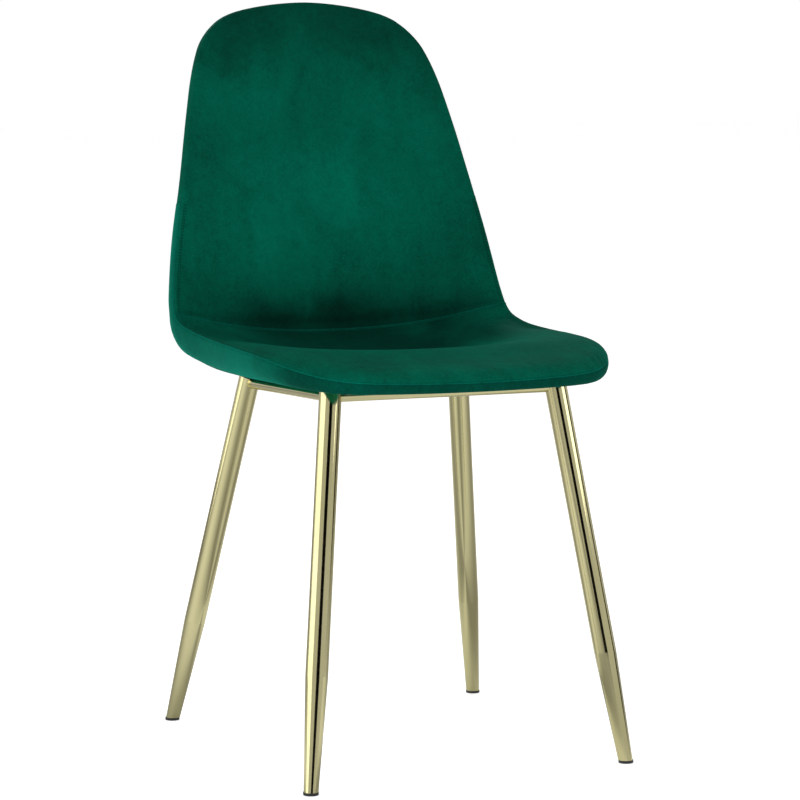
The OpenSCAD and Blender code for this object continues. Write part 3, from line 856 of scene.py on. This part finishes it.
# The cloth under the seat: stapled along its front and rear edges, with slight puckers between the
# staples, and a hole round each bolt
CLOTH_T = 0.4 * MM
STAPLE_INSET, STAPLE_GAPS = 7 * MM, 6
PUCKER, PUCKER_REACH = 0.11 * MM, 22 * MM
BOLT_HOLE_R = 5.2 * MM
cloth_node = vertices(frame["nodes"]["dust_cover"])
low_x, high_x = cloth_node[:, X].min(), cloth_node[:, X].max()
low_y, high_y = cloth_node[:, Y].min(), cloth_node[:, Y].max()
front_z = cloth_node[cloth_node[:, Y] < low_y + 0.5 * MM, Z].mean()
rear_z = cloth_node[cloth_node[:, Y] > high_y - 0.5 * MM, Z].mean()
gx, gy = np.meshgrid(np.linspace(low_x, high_x, 97), np.linspace(low_y, high_y, 109))
from_end = np.minimum(gy - low_y, high_y - gy)
staple_pitch = (high_x - low_x - 2 * STAPLE_INSET) / STAPLE_GAPS
pucker = np.cos((gx - low_x - STAPLE_INSET) / staple_pitch * math.tau) * np.exp(-from_end / PUCKER_REACH)
gz = front_z + (rear_z - front_z) * (gy - low_y) / (high_y - low_y) - PUCKER * pucker + CLOTH_T / 2
cloth_faces = grid_faces(*gx.shape)
cloth_points = np.stack([gx, gy, gz], -1).reshape(-1, 3)
middles = cloth_points[cloth_faces].mean(1)
bolts = vertices(frame["nodes"]["seat_bolts"])
keep_face = np.ones(len(cloth_faces), bool)
for side_x in (-1, 1):
    for rear in (-1, 1):
        one = bolts[(bolts[:, X] * side_x > 0) & ((bolts[:, Y] - bolts[:, Y].mean()) * rear > 0)]
        top_ring = one[one[:, Z] > one[:, Z].max() - 1 * MM]
        centre_xy = (top_ring[:, :2].max(0) + top_ring[:, :2].min(0)) / 2
        keep_face &= np.linalg.norm(middles[:, :2] - centre_xy, axis=1) > BOLT_HOLE_R
dust = new_object("underside_cloth", cloth_points, cloth_faces[keep_face])
solid(facing_out(dust, (0, 0, -1)), CLOTH_T)
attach(dust, "root")
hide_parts("dust_cover")
for o in (ridges, stitches):
    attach(o, "root")

seat_core = foam_piece("seat_foam_block", seat_q, seat_h, seat_v)
back_core = foam_piece("back_foam_block", back_q, back_h, back_v)
for o, node in ((seat_core, "seat_foam"), (back_core, "back_foam")):
    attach(o, "root")
    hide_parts(node)

for o, nodes in ((seat, ["seat_cover"]), (back, ["back_cover", "top_band"]), (side_l, ["side_band_left"]),
                 (side_r, ["side_band_right"]), (front_piece, ["front_band"]), (outer, ["outer_cover"])):
    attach(o, "root")
    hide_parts(*nodes)


# ---------------------------------------------------------------------------
# Materials
# ---------------------------------------------------------------------------

class Nodes:
    """A material's node tree, with short calls to add and link nodes."""

    def __init__(self, name):
        self.material = bpy.data.materials.new(name)
        self.material.use_nodes = True
        self.tree = self.material.node_tree
        self.shader = self.tree.nodes["Principled BSDF"]

    def add(self, kind, inputs=None, **settings):
        n = self.tree.nodes.new(kind)
        for k, v in settings.items():
            setattr(n, k, v)
        for k, v in (inputs or {}).items():
            self.plug(v, n.inputs[k])
        return n

    def plug(self, value, socket):
        if isinstance(value, bpy.types.NodeSocket):
            self.tree.links.new(value, socket)
        elif isinstance(value, bpy.types.Node):
            self.tree.links.new(value.outputs[0], socket)
        else:
            socket.default_value = value

    def set(self, **inputs):
        for k, v in inputs.items():
            self.plug(v, self.shader.inputs[k.replace("_", " ")])

    def place(self, scale=(1, 1, 1)):
        """Object-space position, stretched."""
        where = self.add("ShaderNodeTexCoord").outputs["Object"]
        return self.add("ShaderNodeMapping", {"Vector": where, "Scale": scale}).outputs[0]

    def noise(self, scale=(1, 1, 1), size=1.0, detail=2.0, rough=0.5, distortion=0.0):
        """Noise in object space, stretched by scale along each axis."""
        return self.add("ShaderNodeTexNoise", {
            "Vector": self.place(scale), "Scale": size, "Detail": detail, "Roughness": rough,
            "Distortion": distortion}).outputs["Fac"]

    def ramp(self, value, *stops):
        n = self.add("ShaderNodeValToRGB", {"Fac": value})
        while len(n.color_ramp.elements) < len(stops):
            n.color_ramp.elements.new(0.5)
        for e, (at, colour) in zip(n.color_ramp.elements, stops):
            e.position, e.color = at, (*colour, 1)
        return n.outputs["Color"]

    def math(self, operation, a, b=0.0, c=0.0):
        n = self.add("ShaderNodeMath", operation=operation)
        for k, v in enumerate((a, b, c)):
            self.plug(v, n.inputs[k])
        return n.outputs[0]

    def range(self, value, low, high, to_low, to_high):
        return self.add("ShaderNodeMapRange", {"Value": value, "From Min": low, "From Max": high,
                                               "To Min": to_low, "To Max": to_high}).outputs[0]

    def vary(self, noise, low, high):
        """The usual range of a noise, 0.3 to 0.7, spread over low to high."""
        return self.range(noise, 0.3, 0.7, low, high)

    def mix(self, factor, a, b):
        """Mix of two colours; the colour sockets of the node are 6 and 7, and 2 of its outputs."""
        n = self.add("ShaderNodeMix", {0: factor, 6: a, 7: b}, data_type="RGBA")
        return n.outputs[2]

    def bump(self, *layers):
        """Bump from layers of (height, strength, distance), each over the last."""
        normal = None
        for height, strength, distance in layers:
            inputs = {"Height": height, "Strength": strength, "Distance": distance}
            if normal is not None:
                inputs["Normal"] = normal
            normal = self.add("ShaderNodeBump", inputs).outputs[0]
        self.plug(normal, self.shader.inputs["Normal"])


def velvet_material(name, base=(0.0, 0.070, 0.042), sheen=0.3, zones=()):
    """Emerald velvet. A zone is (centre, spread, gain): painted shade over that patch where the gain is
    below 1, and painted light where it is above 1.
    """
    m = Nodes(name)
    streak = m.noise((26, 5, 5), 1.0, 5.0, 0.65, 0.5)
    clouds = m.noise((9, 7, 7), 1.0, 3.0, 0.55, 0.6)
    mottle = m.noise((1, 1, 1), 105.0, 4.0, 0.72, 0.8)
    weave = m.noise((1, 1, 1), 420.0, 3.0, 0.7)
    pile = m.noise((1, 1, 1), 1800.0, 2.0, 0.6)
    tone = m.math("ADD", m.vary(streak, -0.10, 0.10), m.vary(clouds, -0.22, 0.22))
    tone = m.math("ADD", tone, m.vary(mottle, -0.15, 0.15))
    tone = m.math("ADD", tone, m.vary(weave, -0.14, 0.14))
    tone = m.math("ADD", m.math("ADD", tone, m.vary(pile, -0.06, 0.06)), 1.0)
    where = m.add("ShaderNodeTexCoord").outputs["Object"]
    for centre_at, spread, gain in zones:
        shifted = m.add("ShaderNodeVectorMath", {0: where, 1: centre_at}, operation="SUBTRACT")
        shrunk = m.add("ShaderNodeVectorMath", {0: shifted, 1: spread}, operation="DIVIDE")
        far = m.add("ShaderNodeVectorMath", {0: shrunk}, operation="LENGTH").outputs["Value"]
        far = m.math("ADD", far, m.vary(clouds, -0.12, 0.12))
        fade = m.add("ShaderNodeMapRange", {"Value": far, "From Min": 0.35, "From Max": 1.0,
                                            "To Min": gain, "To Max": 1.0},
                     interpolation_type="SMOOTHERSTEP")
        tone = m.math("MULTIPLY", tone, fade)
    colour = m.add("ShaderNodeVectorMath", {0: (*base,), 1: tone}, operation="MULTIPLY")
    m.set(Base_Color=colour.outputs[0],
          Roughness=m.vary(clouds, 0.78, 0.92),
          Sheen_Weight=sheen, Sheen_Roughness=0.28, Sheen_Tint=(0.0, 0.62, 0.44, 1),
          Specular_IOR_Level=0.02)
    m.bump((pile, 0.25, 0.0004), (weave, 0.15, 0.0006), (mottle, 0.15, 0.0010), (streak, 0.12, 0.0012))
    return m.material


def brass_material():
    m = Nodes("pale_brass")
    smear = m.noise((14, 14, 3), 1.0, 4.0, 0.6)
    grain = m.noise((900, 900, 30), 1.0, 2.0)
    colour = m.mix(m.range(smear, 0.35, 0.65, 0, 1), (0.63, 0.58, 0.31, 1), (0.69, 0.64, 0.36, 1))
    m.set(Base_Color=colour, Metallic=1.0, Roughness=m.vary(smear, 0.06, 0.12))
    m.bump((grain, 0.04, 0.0002))
    return m.material


ROUGHNESS_SPREAD = 0.06


def plain_material(name, colour, roughness, grain, strength, metallic=0.0, variation=0.15, shine=0.5):
    """A colour with soft clouds in it and a fine grain."""
    m = Nodes(name)
    cloud = m.noise((30, 30, 30), 1.0, 3.0)
    fine = m.noise((1, 1, 1), grain, 3.0)
    dark = tuple(c * (1 - variation) for c in colour)
    light = tuple(min(1, c * (1 + variation)) for c in colour)
    m.set(Base_Color=m.mix(m.vary(cloud, 0, 1), (*dark, 1), (*light, 1)), Metallic=metallic,
          Roughness=m.vary(fine, roughness - ROUGHNESS_SPREAD, roughness + ROUGHNESS_SPREAD),
          Specular_IOR_Level=shine)
    m.bump((fine, strength, 0.0003))
    return m.material


def ply_material():
    m = Nodes("moulded_ply")
    grain = m.noise((160, 6, 6), 1.0, 5.0, 0.65, 0.6)
    colour = m.ramp(grain, (0.3, (0.42, 0.27, 0.14)), (0.5, (0.58, 0.41, 0.23)), (0.7, (0.68, 0.52, 0.32)))
    m.set(Base_Color=colour, Roughness=m.vary(grain, 0.5, 0.65))
    m.bump((grain, 0.15, 0.0004))
    return m.material


def cloth_material():
    m = Nodes("black_nonwoven")
    fibre = m.noise((1, 1, 1), 900.0, 4.0, 0.7, 0.8)
    dots = m.add("ShaderNodeTexVoronoi", {"Vector": m.place(), "Scale": 520.0}).outputs["Distance"]
    m.set(Base_Color=m.ramp(fibre, (0.3, (0.006, 0.006, 0.007)), (0.7, (0.022, 0.022, 0.024))),
          Roughness=0.88, Sheen_Weight=0.2)
    m.bump((dots, 0.3, 0.0003), (fibre, 0.3, 0.0003))
    return m.material


SPREAD_ALL = 9.0                        # a zone this wide reaches everywhere along that axis
# Seat: painted shade over the rear dish and the left side, painted light on the right and along the front
# above the seam
seat_velvet_painted_shading = velvet_material("emerald_velvet_seat_painted_shading", sheen=0.10, zones=(
    ((0.0, 0.090, 0.46), (0.22, 0.175, SPREAD_ALL), 0.33),
    ((-0.20, -0.02, 0.46), (0.09, 0.16, SPREAD_ALL), 0.75),
    ((0.13, -0.06, 0.46), (0.10, 0.12, SPREAD_ALL), 1.25),
    ((0.0, -0.240, 0.445), (0.24, 0.050, 0.020), 1.25)))
# Back: painted shade along the valley above the seat and towards the top, painted light over the lower
# middle and left
back_velvet_painted_shading = velvet_material("emerald_velvet_back_painted_shading", sheen=0.20, zones=(
    ((0.0, 0.12, 0.445), (0.30, SPREAD_ALL, 0.085), 0.32),
    ((-0.03, 0.13, 0.60), (0.22, SPREAD_ALL, 0.13), 1.28),
    ((-0.12, 0.13, 0.565), (0.09, SPREAD_ALL, 0.075), 1.12),
    ((0.0, 0.2, 0.90), (0.40, SPREAD_ALL, 0.20), 0.66)))
# Side bands: a lighter copy of the velvet, painted light, with painted shade at both front corners
painted_corner_shade = tuple(((x, -0.225, 0.44), (0.10, 0.10, SPREAD_ALL), 0.52) for x in (-0.165, 0.165))
band_velvet_painted_light_and_shade = velvet_material("emerald_velvet_band_painted_light_and_shade", (0.0, 0.088, 0.056), sheen=0.40, zones=painted_corner_shade)
# Seam ridges: a lighter copy of the velvet, a painted highlight along the seams, with painted shade where
# they run along the valley
ridge_velvet_painted_light_and_shade = velvet_material("emerald_velvet_ridge_painted_light_and_shade", (0.0, 0.105, 0.070), sheen=0.35, zones=(
    ((0.0, 0.15, 0.46), (0.22, 0.06, SPREAD_ALL), 0.55),))
# Front band: a darker copy of the velvet, painted shade
front_velvet_painted_shade = velvet_material("emerald_velvet_front_painted_shade", (0.0, 0.050, 0.032), sheen=0.20)
velvet = velvet_material("emerald_velvet")
finishes = {
    "velvet": velvet,
    "brass": brass_material(),
    "plywood": ply_material(),
    "foam": plain_material("foam_cells", (0.80, 0.74, 0.55), 0.9, 700.0, 0.5),
    "nonwoven": cloth_material(),
    "thread": plain_material("dark_thread", (0.0, 0.026, 0.017), 0.8, 2500.0, 0.4, shine=0.05),
    "zinc": plain_material("zinc_plate", (0.55, 0.57, 0.60), 0.34, 900.0, 0.08, 1.0, 0.08),
    "black_plastic": plain_material("black_plastic", (0.018, 0.018, 0.019), 0.45, 1200.0, 0.12),
}
for part in frame["record"]["subparts"]:
    node = frame["nodes"][part["node"]]
    node.data.materials.clear()
    node.data.materials.append(finishes[part["material_slot"]])
for o, finish in ((seat, seat_velvet_painted_shading), (back, back_velvet_painted_shading), (side_l, band_velvet_painted_light_and_shade), (side_r, band_velvet_painted_light_and_shade),
                  (front_piece, front_velvet_painted_shade), (outer, velvet)):
    o.data.materials.append(finish)
for o, finish in ((seat_core, "foam"), (back_core, "foam"), (dust, "nonwoven"), (stitches, "thread")):
    o.data.materials.append(finishes[finish])
# The ridges carry the painted highlight, darker in the valley with painted shade
ridges.data.materials.append(ridge_velvet_painted_light_and_shade)


# ---------------------------------------------------------------------------
# Floor, light and reflections
# ---------------------------------------------------------------------------

CHAIR_MIDDLE = (0, 0, 0.5)              # what the lights and flags face
FLAG_DISTANCE, FLAG_SHIFT, FLAG_RISE = 5.6, 1.25, 0.3
SIDE_FLAG_TURNS = (100, 180, 262)       # degrees round the chair, from the camera
CARD_LEFT, CARD_FORWARD = 5.0, 1.2
GROUND_WAVES, GROUND_TURN = 3, math.radians(72)
WORLD_LEVEL = 0.58                      # of what the camera sees, for all other rays


def plane(name, size, material, location, aim=None):
    bm = bmesh.new()
    bmesh.ops.create_grid(bm, x_segments=1, y_segments=1, size=0.5)
    me = bpy.data.meshes.new(name)
    bm.to_mesh(me)
    bm.free()
    me.materials.append(material)
    o = bpy.data.objects.new(name, me)
    scene.collection.objects.link(o)
    o.scale = (*size, 1)
    o.location = location
    if aim is not None:
        o.rotation_euler = (Vector(aim) - Vector(location)).to_track_quat("Z", "Y").to_euler()
    return o


def floor_material():
    m = Nodes("pale_floor")
    m.set(Base_Color=(0.85, 0.85, 0.85, 1), Roughness=0.7, Specular_IOR_Level=0.1,
          Emission_Color=(1, 1, 1, 1), Emission_Strength=0.5)
    return m.material


def flag_material():
    m = Nodes("flag_black")
    m.set(Base_Color=(0.004, 0.004, 0.004, 1), Roughness=1.0, Specular_IOR_Level=0.0)
    return m.material


def card_material():
    m = Nodes("card_white")
    m.set(Base_Color=(0.8, 0.8, 0.8, 1), Emission_Color=(1.0, 1.0, 0.97, 1), Emission_Strength=1.1)
    return m.material


def ground_material():
    """Grey in soft sectors round the chair, so that the legs mirror lighter and darker ground."""
    m = Nodes("ground_grey")
    sector = m.add("ShaderNodeTexGradient", {"Vector": m.place()}, gradient_type="RADIAL").outputs["Fac"]
    wave = m.math("SINE", m.math("MULTIPLY_ADD", sector, GROUND_WAVES * math.tau, GROUND_TURN))
    shade = m.range(wave, -1, 1, 0.40, 0.90)
    m.set(Base_Color=m.add("ShaderNodeCombineColor", {0: shade, 1: shade, 2: shade}).outputs[0],
          Roughness=1.0, Specular_IOR_Level=0.0)
    return m.material


plane("floor", (60, 60), floor_material(), (0, 0, -0.0005))

# Only the metal mirrors these. The dark flag beside the camera makes a narrow upright stripe in the
# legs, the bright card on the camera's left their light side, and the others what their turned sides show.
to_camera = (CAMERA_AT - LOOK_AT).normalized()
to_right = Vector((0, 0, 1)).cross(to_camera).normalized()
level_way = Vector((to_camera.x, to_camera.y, 0)).normalized() * FLAG_DISTANCE
flag_at = LOOK_AT + level_way + to_right * FLAG_SHIFT + Vector((0, 0, FLAG_RISE))
card_at = LOOK_AT - to_right * CARD_LEFT + to_camera * CARD_FORWARD
black = flag_material()
mirrored = [plane("dark_flag", (3.2, 5.0), black, flag_at, CHAIR_MIDDLE),
            plane("bright_card", (6.5, 4.5), card_material(), card_at, LOOK_AT),
            plane("grey_ground", (40, 40), ground_material(), (0, 0, -0.0003))]
side_flag_from = LOOK_AT + level_way - Vector((0, 0, LOOK_AT.z))
for turn in SIDE_FLAG_TURNS:
    place = Matrix.Rotation(math.radians(turn), 3, "Z") @ side_flag_from
    mirrored.append(plane(f"side_flag_{turn}", (1.5, 5.0), black, place, CHAIR_MIDDLE))
for o in mirrored:
    o.visible_camera = o.visible_shadow = o.visible_diffuse = o.visible_transmission = False


def softbox(name, location, size, power):
    light = bpy.data.lights.new(name, "AREA")
    light.shape, light.size, light.size_y, light.energy = "RECTANGLE", *size, power
    o = bpy.data.objects.new(name, light)
    o.location = location
    o.rotation_euler = (Vector(CHAIR_MIDDLE) - Vector(location)).to_track_quat("-Z", "Y").to_euler()
    scene.collection.objects.link(o)


softbox("key", (-2.6, -1.6, 2.6), (1.8, 1.8), 55)
softbox("fill", (2.6, -2.2, 1.8), (2.0, 2.0), 22)
softbox("rim", (0.4, 2.6, 2.4), (2.4, 1.4), 30)

world = bpy.data.worlds.new("studio")
scene.world = world
world.use_nodes = True
backdrop = world.node_tree.nodes["Background"]
backdrop.inputs["Color"].default_value = (1, 1, 1, 1)
rays = world.node_tree.nodes.new("ShaderNodeLightPath")
level = world.node_tree.nodes.new("ShaderNodeMapRange")
level.inputs["To Min"].default_value, level.inputs["To Max"].default_value = WORLD_LEVEL, 1.0
world.node_tree.links.new(rays.outputs["Is Camera Ray"], level.inputs["Value"])
world.node_tree.links.new(level.outputs[0], backdrop.inputs["Strength"])
scene.view_settings.view_transform = "Standard"
